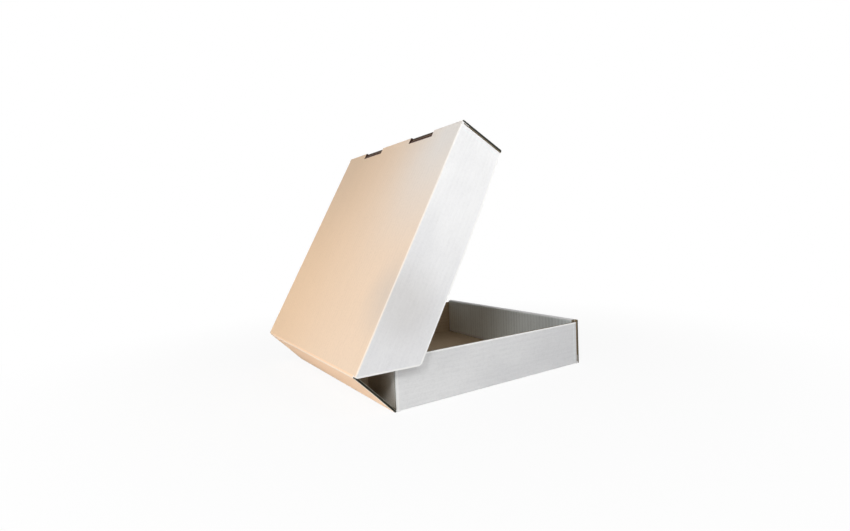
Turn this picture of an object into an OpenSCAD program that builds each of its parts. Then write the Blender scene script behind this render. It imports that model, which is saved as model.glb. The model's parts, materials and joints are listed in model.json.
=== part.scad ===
// Corrugated cake box, folded from one die-cut sheet and standing open.
// Millimetres. X runs across the box, the rolled front wall faces -Y, the back
// fold lies at +Y, and the underside of the tray is at z = 0.

/* [Board] */
// Thickness of the corrugated board
board = 3.2; // [2.4:0.1:4]
// Thickness of each paper liner
liner = 0.5; // [0.3:0.05:0.7]
// Distance from one flute to the next
flute_pitch = 6.4; // [5.6:0.1:7.5]
// Thickness of the fluted paper
medium = 0.4; // [0.3:0.05:0.5]
// How far the fluting stands back between the liners at a cut edge
edge_depth = 1.4; // [0.6:0.1:2]
// Outer radius of a folded corner
fold_r = 2.1; // [1:0.1:2.3]
// Gap between plies that lie against each other
ply_gap = 0.4; // [0.2:0.05:0.6]
// Running gap in the two creases that move
crease_gap = 0.2; // [0.1:0.05:0.4]

/* [Tray] */
// Width inside the tray
inner_w = 305; // [220:1:420]
// Depth inside the tray, from the rolled front to the rear dust flaps
inner_d = 303; // [220:1:420]
// Height of the side walls
side_h = 62; // [45:1:80]
// How far the rolled front stands above the side walls
front_rise = 3.5; // [0:0.1:6]
// Gap between the rear dust flaps and the closed back panel
back_gap = 0.6; // [0.3:0.1:2]

/* [Lid] */
// Gap between the lid's skirts and the side walls, on each side
lid_side_gap = 1.2; // [0.8:0.1:3]
// Gap between the lid's front and the tray's front when closed
lid_front_gap = 1.5; // [0.8:0.1:4]
// Gap between the rolled front and the closed lid above it
head_gap = 3.3; // [1:0.1:8]
// Height of the skirts above the table when closed
skirt_clear = 1; // [0.5:0.1:6]
// How far the rear edge of each skirt is cut back at its free corner
skirt_cut = 39; // [20:1:60]
// Nip across the free rear corner of each skirt
skirt_nip = 2.5; // [1.5:0.5:12]

/* [Dust flaps] */
// Length of the front dust flaps inside the rolled walls
front_flap = 75; // [40:1:100]
// Length of the rear dust flaps
rear_flap = 68; // [40:1:100]
// Taper across the free corners of the rear dust flaps
flap_taper = 9; // [2:0.5:16]
// How far the dust flaps stay below the top of their wall
flap_ease = 1.6; // [0.8:0.1:4]

/* [Locks] */
// Width of each lock tab
lock_w = 56; // [30:1:60]
// Distance between the centres of the two lock tabs
lock_pitch = 140; // [100:1:150]
// Gap around a lock tab in its slot
lock_ease = 0.8; // [0.4:0.1:1.5]
// Nip across the corners of a lock tab
lock_nip = 1.8; // [0.5:0.1:2]
// How far a lock tab stays inside the outer face
lock_recess = 0.5; // [0.3:0.1:1]

/* [Pose] */
// Lean of the back panel from upright
back_lean = 45; // [0:1:90]
// Angle of the lid above level
lid_lift = 61; // [0:1:75]

/* [Hidden] */
$fn = 48;
overcut = 1;
white_board = [0.86, 0.86, 0.84];
buff_board = [0.93, 0.81, 0.69];

tray_w = inner_w + 2 * board;
rolled_t = 3 * board + 2 * ply_gap;
tray_d = inner_d + rolled_t + 2 * board + back_gap;
tray_front_h = side_h + front_rise;
closed_h = tray_front_h + head_gap + board;
skirt_h = closed_h - skirt_clear;
lid_w = tray_w + 2 * (lid_side_gap + board);
// From the lid's crease to its front face
lid_reach = tray_d - board / 2 + lid_front_gap + rolled_t;
// The crease at the foot of the back panel, and the span to the lid's crease
crease_y = (tray_d - board) / 2;
crease_z = board / 2;
panel_span = closed_h - board;
panel_w = tray_w;
recess_r = board / 2 + crease_gap;
// Where the side walls begin behind the outer ply of the front
wall_y = board + ply_gap;
groove = board - 2 * liner;
// Half widths of a flute mouth; the fluting between two mouths leans at 45 degrees
mouth_narrow = medium;
mouth_wide = flute_pitch / 2 - mouth_narrow - medium * sqrt(2);

// Extrudes a side view, drawn as y and z, across the box
module across(width) {
    rotate([90, 0, 90])
        linear_extrude(height = width, center = true)
            children();
}

// Extrudes a front view, drawn as x and z, from one depth to another
module along(from_y, to_y) {
    translate([0, to_y, 0])
        rotate([90, 0, 0])
            linear_extrude(height = to_y - from_y)
                children();
}

// Repeats a part on the other side of the box
module both_sides() {
    children();
    mirror([1, 0, 0]) children();
}

// Waste outside a rounded corner at the origin that opens to +x and +y
module corner_waste() {
    difference() {
        translate([-overcut, -overcut]) square(fold_r + overcut);
        translate([fold_r, fold_r]) circle(fold_r);
    }
}

// Side view of the sheet where it folds up into the outer ply of a front wall
module outer_ply_view(front_h) {
    difference() {
        union() {
            square([wall_y + fold_r, board]);
            square([board, front_h]);
        }
        corner_waste();
        translate([0, front_h]) mirror([0, 1]) corner_waste();
    }
}

// Side view of the roll: over the dust flap and down again as the inner ply
module roll_view(front_h) {
    difference() {
        union() {
            translate([0, front_h - board]) square([rolled_t, board]);
            translate([rolled_t - board, board + ply_gap])
                square([board, front_h - board - ply_gap]);
        }
        translate([0, front_h]) mirror([0, 1]) corner_waste();
        translate([rolled_t, front_h]) rotate(180) corner_waste();
    }
}

// One flute mouth, wide on one liner and narrow towards the other
module flute_mouth(wide_on_near) {
    wide_x = wide_on_near ? liner : board - liner;
    narrow_x = wide_on_near ? board - liner - medium : liner + medium;
    polygon([
        [wide_x, -mouth_wide],
        [narrow_x, -mouth_narrow],
        [narrow_x, mouth_narrow],
        [wide_x, mouth_wide]
    ]);
}

// Row of flute mouths along y, within the thickness of the board along x
module flute_mouths(row_length) {
    step = flute_pitch / 2;
    last = floor((row_length - 2 * mouth_wide) / step);
    first_y = (row_length - last * step) / 2;
    for (i = [0 : last])
        translate([0, first_y + i * step])
            flute_mouth(i % 2 == 0);
}

// Open fluting along the upright cut ends of a ply that stands across the box
module ply_end_grooves(width, ply_y, from_z, to_z) {
    both_sides()
        translate([width / 2 - edge_depth, ply_y + liner, from_z])
            cube([edge_depth + overcut, groove, to_z - from_z]);
}

// The outer ply, the roll and the inner ply of a front wall
module rolled_front(width, front_h) {
    inner_ply_w = width - 2 * wall_y;
    difference() {
        union() {
            across(width) outer_ply_view(front_h);
            across(inner_ply_w) roll_view(front_h);
        }
        ply_end_grooves(width, 0, board, front_h - fold_r);
        ply_end_grooves(inner_ply_w, rolled_t - board, 0, front_h - board);
    }
}

// A panel and its two side walls, with folded corners at the front
module walled_panel(width, rear_y, wall_h) {
    difference() {
        intersection() {
            along(wall_y, rear_y)
                difference() {
                    translate([-width / 2, 0]) square([width, wall_h]);
                    translate([-width / 2 + board, board])
                        square([width - 2 * board, wall_h]);
                    both_sides() translate([-width / 2, 0]) corner_waste();
                }
            linear_extrude(height = wall_h)
                difference() {
                    translate([-width / 2, wall_y]) square([width, rear_y - wall_y]);
                    both_sides() translate([-width / 2, wall_y]) corner_waste();
                }
        }
        both_sides()
            translate([width / 2 - board + liner, wall_y + board, wall_h - edge_depth])
                cube([groove, rear_y - wall_y - board + overcut, edge_depth + overcut]);
    }
}

// Flaps folded in from the side walls and trapped inside the rolled front
module front_dust_flaps(width, front_h) {
    flap_bottom = board + ply_gap;
    flap_top = front_h - board - flap_ease;
    both_sides()
        translate([width / 2 - board - front_flap, wall_y, flap_bottom])
            cube([front_flap + board / 2, board, flap_top - flap_bottom]);
}

// Places a part at each of the two locks
module at_locks() {
    both_sides() translate([lock_pitch / 2, 0, 0]) children();
}

// Slot across the fold of a panel, open from the front face to behind the tab
module lock_slot() {
    slot_w = lock_w + 2 * lock_ease;
    translate([-slot_w / 2, -overcut, -overcut])
        cube([slot_w, rolled_t + lock_ease + overcut, board + ply_gap / 2 + overcut]);
}

// Tab on the foot of the inner ply, standing in its slot
module lock_tab() {
    tip_w = lock_w - 2 * lock_nip;
    root_z = board + ply_gap + overcut;
    along(rolled_t - board, rolled_t)
        polygon([
            [-lock_w / 2, root_z],
            [-lock_w / 2, lock_recess + lock_nip],
            [-tip_w / 2, lock_recess],
            [tip_w / 2, lock_recess],
            [lock_w / 2, lock_recess + lock_nip],
            [lock_w / 2, root_z]
        ]);
}

// One half of the box as folded: its panel at z = 0, its front face at y = 0
module folded_half(width, rear_y, wall_h, front_h) {
    difference() {
        union() {
            walled_panel(width, rear_y, wall_h);
            rolled_front(width, front_h);
        }
        at_locks() lock_slot();
    }
    front_dust_flaps(width, front_h);
    at_locks() lock_tab();
}

// Flap folded in from the rear end of each side wall, its free end open to the fluting
module rear_dust_flaps(rear_y) {
    flap_bottom = board + ply_gap;
    flap_top = side_h - flap_ease;
    root_x = tray_w / 2 - board / 2;
    free_x = tray_w / 2 - board - rear_flap;
    both_sides()
        difference() {
            along(rear_y - board, rear_y)
                polygon([
                    [root_x, flap_bottom],
                    [free_x + flap_taper, flap_bottom],
                    [free_x, flap_bottom + flap_taper],
                    [free_x, flap_top - flap_taper],
                    [free_x + flap_taper, flap_top],
                    [root_x, flap_top]
                ]);
            translate([free_x, rear_y - board, flap_bottom + flap_taper])
                across(2 * edge_depth)
                    flute_mouths(flap_top - flap_bottom - 2 * flap_taper);
        }
}

// Rear strip of the floor, hollowed for the bead of the back fold
module rear_floor_strip(rear_y) {
    axis_y = tray_d - board / 2;
    across(tray_w)
        difference() {
            translate([rear_y - board - fold_r, 0])
                square([axis_y - rear_y + board + fold_r, board]);
            translate([axis_y, board / 2]) circle(recess_r);
            translate([axis_y - recess_r, board / 2]) square([recess_r + overcut, board]);
        }
}

module base_tray() {
    rear_y = tray_d - board - back_gap;
    color(white_board)
        translate([0, -tray_d / 2, 0]) {
            difference() {
                folded_half(tray_w, rear_y, side_h, tray_front_h);
                linear_extrude(height = side_h + overcut)
                    both_sides()
                        translate([-tray_w / 2, rear_y]) mirror([0, 1]) corner_waste();
            }
            rear_floor_strip(rear_y);
            rear_dust_flaps(rear_y);
        }
}

module back_panel() {
    color(buff_board)
        translate([0, crease_y, crease_z])
            rotate([-back_lean, 0, 0])
                difference() {
                    across(panel_w)
                        difference() {
                            union() {
                                circle(board / 2);
                                translate([-board / 2, 0]) square([board, panel_span]);
                            }
                            translate([0, panel_span]) circle(recess_r);
                            translate([-board, panel_span - recess_r])
                                square([board, recess_r + overcut]);
                        }
                    translate([0, -board / 2, 0])
                        ply_end_grooves(panel_w, 0, board / 2, panel_span - board);
                }
}

// Waste behind the slanted rear edge of the skirts, with the nipped free corner
module skirt_waste() {
    slant = atan2(skirt_cut, skirt_h - board);
    corner_y = lid_reach - skirt_cut;
    across(lid_w + 2 * overcut)
        polygon([
            [lid_reach, board],
            [corner_y + skirt_nip * sin(slant), skirt_h - skirt_nip * cos(slant)],
            [corner_y - skirt_nip, skirt_h],
            [corner_y - skirt_nip, skirt_h + overcut],
            [lid_reach + overcut, skirt_h + overcut],
            [lid_reach + overcut, board]
        ]);
}

// Flute mouths in the slanted rear edges of the skirts
module skirt_flutes() {
    row_length = skirt_h - max(skirt_nip, edge_depth) - board - 2 * liner;
    free_y = lid_reach - skirt_cut;
    intersection() {
        across(lid_w)
            polygon([
                [lid_reach + overcut, board],
                [lid_reach - edge_depth, board],
                [free_y - edge_depth, skirt_h],
                [free_y + overcut, skirt_h]
            ]);
        both_sides()
            translate([lid_w / 2 - board, 0, board + liner])
                along(free_y - edge_depth, lid_reach + overcut)
                    flute_mouths(row_length);
    }
}

module lid() {
    color(buff_board)
        translate([0, crease_y, crease_z])
            rotate([-back_lean, 0, 0])
                translate([0, 0, panel_span])
                    rotate([back_lean - lid_lift, 0, 0]) {
                        across(panel_w) circle(board / 2);
                        translate([0, -lid_reach, board / 2])
                            mirror([0, 0, 1])
                                difference() {
                                    folded_half(lid_w, lid_reach, skirt_h, skirt_h);
                                    skirt_waste();
                                    skirt_flutes();
                                }
                    }
}

base_tray();
back_panel();
lid();
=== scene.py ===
"""Looks of an open cake box, folded from one sheet of corrugated board.

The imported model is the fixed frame. Each of its three nodes is copied, ruled into a
fine grid, bowed a little as board does, and dressed with the faces of the sheet: the
outer liner, the bare inside and the cut edges. Two skins of liner run round the
creases that move. Lengths are metres: x across, -y the rolled front, z up.
"""

import json
import logging
import math
from collections.abc import Callable, Iterable
from dataclasses import dataclass
from enum import Enum
from typing import Any, Union

import bpy
from mathutils import Matrix, Vector


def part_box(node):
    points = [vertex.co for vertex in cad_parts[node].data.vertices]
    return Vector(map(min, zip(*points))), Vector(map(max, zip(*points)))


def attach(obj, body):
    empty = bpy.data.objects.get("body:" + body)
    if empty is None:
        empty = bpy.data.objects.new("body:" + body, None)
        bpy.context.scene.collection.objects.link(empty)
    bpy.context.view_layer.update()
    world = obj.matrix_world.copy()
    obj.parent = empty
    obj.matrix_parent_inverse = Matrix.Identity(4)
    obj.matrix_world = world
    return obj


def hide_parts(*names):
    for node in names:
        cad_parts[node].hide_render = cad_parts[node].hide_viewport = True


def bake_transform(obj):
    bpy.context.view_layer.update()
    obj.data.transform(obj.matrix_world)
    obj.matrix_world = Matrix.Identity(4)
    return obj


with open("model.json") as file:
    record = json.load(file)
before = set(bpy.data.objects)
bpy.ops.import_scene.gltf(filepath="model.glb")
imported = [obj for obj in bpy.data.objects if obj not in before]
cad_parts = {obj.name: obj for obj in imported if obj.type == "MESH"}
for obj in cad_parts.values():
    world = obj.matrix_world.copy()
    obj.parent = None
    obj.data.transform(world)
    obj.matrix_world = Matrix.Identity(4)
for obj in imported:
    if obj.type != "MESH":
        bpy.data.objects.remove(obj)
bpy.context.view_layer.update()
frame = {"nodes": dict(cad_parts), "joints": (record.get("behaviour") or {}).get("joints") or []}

log = logging.getLogger("cake_box")

Colour = tuple[float, float, float]
Place = tuple[float, float, float]
MILLIMETRE = 0.001
SLACK = 0.01 * MILLIMETRE
SAME = 0.03 * MILLIMETRE
SQUARE_ON = 0.999
ACROSS_BOX = Vector((1, 0, 0))
WHITE_LIGHT = (1.0, 1.0, 1.0, 1.0)
PAPER_IOR = 1.45
PLACE = "place"
SHEET = "sheet"


class Body(str, Enum):
    """The rigid bodies that pieces ride on."""

    TRAY = "base_tray"
    BACK = "back_panel"
    LID = "lid"


class Slot(str, Enum):
    """The record's material slots."""

    WHITE = "white_board"
    BUFF = "buff_board"


class Side(Enum):
    """Which part of the sheet a face shows."""

    OUTER = 0
    INSIDE = 1
    EDGE = 2


class Axis(Enum):
    """Directions of a folded half: across the box, back from its front, in from its panel."""

    ACROSS = 0
    BACK = 1
    IN = 2


@dataclass(frozen=True)
class Board:
    """Single-wall corrugated board as it comes off the die."""

    thickness: float = 3.2 * MILLIMETRE
    liner: float = 0.5 * MILLIMETRE
    fold_r: float = 2.1 * MILLIMETRE
    ply_gap: float = 0.4 * MILLIMETRE
    flute_pitch: float = 6.4 * MILLIMETRE

    @property
    def rolled(self) -> float:
        """Thickness of a rolled wall: outer ply, dust flap and inner ply."""
        return 3 * self.thickness + 2 * self.ply_gap

    @property
    def wall_start(self) -> float:
        """Where the side walls and the dust flaps begin behind the outer ply."""
        return self.thickness + self.ply_gap


@dataclass(frozen=True)
class Patch:
    """How a face lies on the sheet.

    Attributes:
        side: The part of the sheet that it shows.
        across: The direction that counts the flutes, for a liner face.
        along: The direction that the flutes run in, for a liner face.
        skin: Depth below the outer liner, worked out from a place, for a cut edge.
    """

    side: Side
    across: Axis = Axis.ACROSS
    along: Axis = Axis.BACK
    skin: Callable[[Vector], float] | None = None


def same(value: float, target: float) -> bool:
    """Tells whether two lengths are the same."""
    return abs(value - target) < SAME


def clamp(value: float, low: float, high: float) -> float:
    """Keeps a number between two ends."""
    return max(low, min(high, value))


# Node graphs


class Num:
    """A socket that carries a number or vector and takes Python arithmetic."""

    def __init__(self, graph: "Graph", socket: bpy.types.NodeSocket) -> None:
        """Wraps a socket of the graph."""
        self.graph = graph
        self.socket = socket

    def _math(self, operation: str, *values: "Value") -> "Num":
        """Adds a Math node that works on the given values."""
        return self.graph.node("ShaderNodeMath", {"operation": operation}, dict(enumerate(values)))

    def __add__(self, other: "Value") -> "Num":
        """Returns self + other."""
        return self._math("ADD", self, other)

    __radd__ = __add__

    def __sub__(self, other: "Value") -> "Num":
        """Returns self - other."""
        return self._math("SUBTRACT", self, other)

    def __rsub__(self, other: "Value") -> "Num":
        """Returns other - self."""
        return self._math("SUBTRACT", other, self)

    def __mul__(self, other: "Value") -> "Num":
        """Returns self * other."""
        return self._math("MULTIPLY", self, other)

    __rmul__ = __mul__

    def __truediv__(self, other: "Value") -> "Num":
        """Returns self / other."""
        return self._math("DIVIDE", self, other)

    def __pow__(self, power: "Value") -> "Num":
        """Returns self to the power."""
        return self._math("POWER", self, power)

    def __abs__(self) -> "Num":
        """Returns the absolute value."""
        return self._math("ABSOLUTE", self)

    def larger(self, other: "Value") -> "Num":
        """Returns the larger of the two."""
        return self._math("MAXIMUM", self, other)

    def smaller(self, other: "Value") -> "Num":
        """Returns the smaller of the two."""
        return self._math("MINIMUM", self, other)

    def cosine(self) -> "Num":
        """Returns the cosine."""
        return self._math("COSINE", self)

    def ramp(self, low: float, high: float) -> "Num":
        """Goes smoothly from 0 to 1.

        Args:
            low: Where it is 0.
            high: Where it is 1, above or below the other end.

        Returns:
            The ramp.
        """
        settings = {"interpolation_type": "SMOOTHSTEP"}
        inputs = {"Value": self, "From Min": low, "From Max": high, "To Min": 0.0, "To Max": 1.0}
        if high < low:
            inputs |= {"From Min": high, "From Max": low, "To Min": 1.0, "To Max": 0.0}
        return self.graph.node("ShaderNodeMapRange", settings, inputs)


Value = Union[Num, float, int]


class Graph:
    """The node graph of one material, or of the world."""

    def __init__(self, holder: Union[bpy.types.Material, bpy.types.World]) -> None:
        """Starts an empty graph in a material or a world."""
        holder.use_nodes = True
        self.holder = holder
        self.tree = holder.node_tree
        self.tree.nodes.clear()

    def add(self, kind: str, settings: dict[str, Any], inputs: dict[Any, Any]) -> bpy.types.Node:
        """Adds a node; every node is made here.

        Args:
            kind: Its type.
            settings: Its properties, which are set first.
            inputs: Values or sockets for its inputs, by name or number.

        Returns:
            The node.
        """
        made = self.tree.nodes.new(kind)
        for key, value in settings.items():
            setattr(made, key, value)
        for key, value in inputs.items():
            if isinstance(value, Num):
                self.tree.links.new(value.socket, made.inputs[key])
            else:
                made.inputs[key].default_value = value
        return made

    def node(
        self, kind: str, settings: dict[str, Any], inputs: dict[Any, Any], output: str | int = 0
    ) -> Num:
        """Adds a node and hands back one of its outputs."""
        return Num(self, self.add(kind, settings, inputs).outputs[output])

    def mix(
        self,
        amount: Value,
        first: Union[Num, Colour],
        second: Union[Num, Colour],
        blend: str = "MIX",
    ) -> Num:
        """Mixes two colours.

        Args:
            amount: 0 gives the first colour, 1 the second, or the blend of both.
            first: Colour or socket.
            second: Colour or socket.
            blend: The kind of blend.

        Returns:
            The mixed colour.
        """
        colour_a, colour_b, result = 6, 7, 2
        inputs: dict[Any, Any] = {0: amount}
        for key, colour in ((colour_a, first), (colour_b, second)):
            inputs[key] = colour if isinstance(colour, Num) else (*colour, 1.0)
        settings = {"data_type": "RGBA", "blend_type": blend}
        return self.node("ShaderNodeMix", settings, inputs, result)

    def read(self, attribute: str) -> Num:
        """Reads a vector attribute of the mesh."""
        settings = {"attribute_type": "GEOMETRY", "attribute_name": attribute}
        return self.node("ShaderNodeAttribute", settings, {}, "Vector")

    def parts(self, vector: Num) -> tuple[Num, Num, Num]:
        """Splits a vector into its three numbers."""
        split = self.add("ShaderNodeSeparateXYZ", {}, {0: vector})
        x, y, z = (Num(self, socket) for socket in split.outputs)
        return x, y, z

    def noise(self, vector: Num, stretch: Place, detail: float = 2.0) -> Num:
        """Noise around 0.5.

        Args:
            vector: Where it is read, in metres.
            stretch: Blotches to the metre in each direction.
            detail: Octaves.

        Returns:
            The noise, mostly between 0.3 and 0.7.
        """
        scaled = self.node(
            "ShaderNodeVectorMath", {"operation": "MULTIPLY"}, {0: vector, 1: stretch}
        )
        inputs = {"Vector": scaled, "Scale": 1.0, "Detail": detail}
        return self.node("ShaderNodeTexNoise", {}, inputs)

    def surface(
        self, colour: Num, roughness: Value, height: Num, depth: float
    ) -> bpy.types.Material:
        """Ends the graph with a paper surface.

        Args:
            colour: Base colour.
            roughness: Roughness.
            height: Relief, about 0 to 1.
            depth: What a relief of 1 stands for, in metres.

        Returns:
            The finished material.
        """
        relief = {"Height": height, "Distance": depth, "Strength": 1.0}
        normal = self.node("ShaderNodeBump", {}, relief)
        paper = {"Base Color": colour, "Roughness": roughness, "Normal": normal, "IOR": PAPER_IOR}
        self.end(self.node("ShaderNodeBsdfPrincipled", {}, paper), "Material")
        return self.holder

    def end(self, shader: Num, kind: str) -> None:
        """Wires a shader to the output of a material or of the world."""
        self.add(f"ShaderNodeOutput{kind}", {}, {"Surface": shader})


# Sizes of the folded halves


@dataclass(frozen=True)
class Half:
    """Sizes of one folded half, and where it stands.

    Attributes:
        width: Across its side walls.
        reach: From its front face to its rear flaps or its crease.
        wall_h: Height of its side walls.
        front_h: Height of its rolled front.
        origin: The middle of its front edge, on the panel's outer face.
        back: Direction from its front to its rear.
        inward: Direction from its panel's outer face to its inside.
    """

    width: float
    reach: float
    wall_h: float
    front_h: float
    origin: Vector
    back: Vector
    inward: Vector

    def local(self, point: Vector) -> Vector:
        """Turns a place of the row frame into across, back and in."""
        rel = point - self.origin
        return Vector((rel.x, rel.dot(self.back), rel.dot(self.inward)))

    def world(self, place: Vector) -> Vector:
        """Turns across, back and in into a place of the row frame."""
        across = Vector((self.origin.x + place.x, self.origin.y, self.origin.z))
        return across + self.back * place.y + self.inward * place.z

    def direction(self, axis: Axis) -> Vector:
        """Gives an axis of the half in the row frame."""
        return (ACROSS_BOX, self.back, self.inward)[axis.value]


# Finishes


def flute_lines(graph: Graph, board: Board, stretch: Place, low: float, high: float) -> Num:
    """Lines of the flutes that show through a liner, here stronger and there weaker.

    Args:
        graph: The material's graph.
        board: The board's sizes.
        stretch: Blotches to the metre of the noise that weakens them.
        low: Noise at which they are weakest.
        high: Noise at which they are strongest.

    Returns:
        The lines, 1 on each flute's crest.
    """
    sheet = graph.read(SHEET)
    across, _, _ = graph.parts(sheet)
    wave = (across * (math.tau / board.flute_pitch)).cosine() * 0.5 + 0.5
    return wave * (graph.noise(sheet, stretch).ramp(low, high) * 0.7 + 0.3)


def toned(colour: Colour, share: float) -> Colour:
    """Darkens a colour to a share of itself."""
    red, green, blue = (share * part for part in colour)
    return red, green, blue


@dataclass(frozen=True)
class PanelTint:
    """Buff tone of a panel that turns white beyond its folds; painted light pales it along one
    side.

    Attributes:
        colour: The buff.
        pale: What it pales to: the colour of its painted light.
        across_painted_light: How much painted light pales it from its right fold to its left one.
        rise_painted_light: How much more painted light pales it towards the front.
        corner_painted_light: How much more painted light again at the front's left corner.
        corner_painted_shade: How much painted shade darkens it at the front's right corner.
        fold_in: Depth below the panel at which the white begins.
        patches: Patches to the metre of its unevenness.
    """

    colour: Colour = (0.86, 0.613, 0.403)
    pale: Colour = (0.76, 0.715, 0.67)
    across_painted_light: float = 0.28
    rise_painted_light: float = 0.10
    corner_painted_light: float = 0.62
    corner_painted_shade: float = 0.55
    fold_in: float = 1.2 * MILLIMETRE
    patches: Place = (9, 6, 9)

    def tone(self, graph: Graph, half: Half) -> tuple[Num, Num]:
        """Tone of the panel with its painted light and shade, and where it gives way to white.

        Args:
            graph: The material's graph.
            half: The half that the panel belongs to.

        Returns:
            The colour, and a mask that is 1 on the white liner.
        """
        x, y, z = graph.parts(graph.read(PLACE))
        leftward = x.ramp(0.48 * half.width, -0.48 * half.width)
        forward = y.ramp(0.85 * half.reach, 0.0) ** 1.7
        patchy = graph.noise(graph.read(PLACE), self.patches) * 0.4 + 0.8
        # painted light: paler and greyer towards the left fold and the front-left corner
        painted_light = leftward * self.across_painted_light
        painted_light = painted_light + forward * (leftward**3 * self.corner_painted_light + self.rise_painted_light)
        painted_light = (painted_light * patchy).smaller(1.0)
        white = z.ramp(0.5 * self.fold_in, 1.5 * self.fold_in)
        # painted shade: darker towards the front-right corner
        painted_shade = forward * (1 - leftward) * self.corner_painted_shade
        paled = graph.mix(painted_light, self.colour, self.pale)
        return graph.mix(painted_shade, paled, toned(self.colour, 0.7)), white


@dataclass(frozen=True)
class ShadePatch:
    """Soft grey patch of painted shade.

    Attributes:
        centre: Its middle, in the half's own directions.
        radius: How far it reaches.
        depth: How strongly it greys the paper.
        grey: Its colour.
        patches: Patches to the metre of its unevenness.
    """

    centre: Place
    radius: float = 72 * MILLIMETRE
    depth: float = 0.40
    grey: Colour = (0.50, 0.475, 0.45)
    patches: Place = (30, 22, 30)

    def mask(self, graph: Graph) -> Num:
        """Where the painted shade lies.

        Args:
            graph: The material's graph.

        Returns:
            The mask, strongest in the middle of the mark.
        """
        place = graph.read(PLACE)
        gap = graph.node(
            "ShaderNodeVectorMath", {"operation": "DISTANCE"}, {0: place, 1: self.centre}, "Value"
        )
        # uneven spread of the painted shade
        blotchy_share = graph.noise(place, self.patches, 3.0) * 0.9 + 0.55
        return gap.ramp(self.radius, 0.1 * self.radius) * blotchy_share * self.depth


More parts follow.
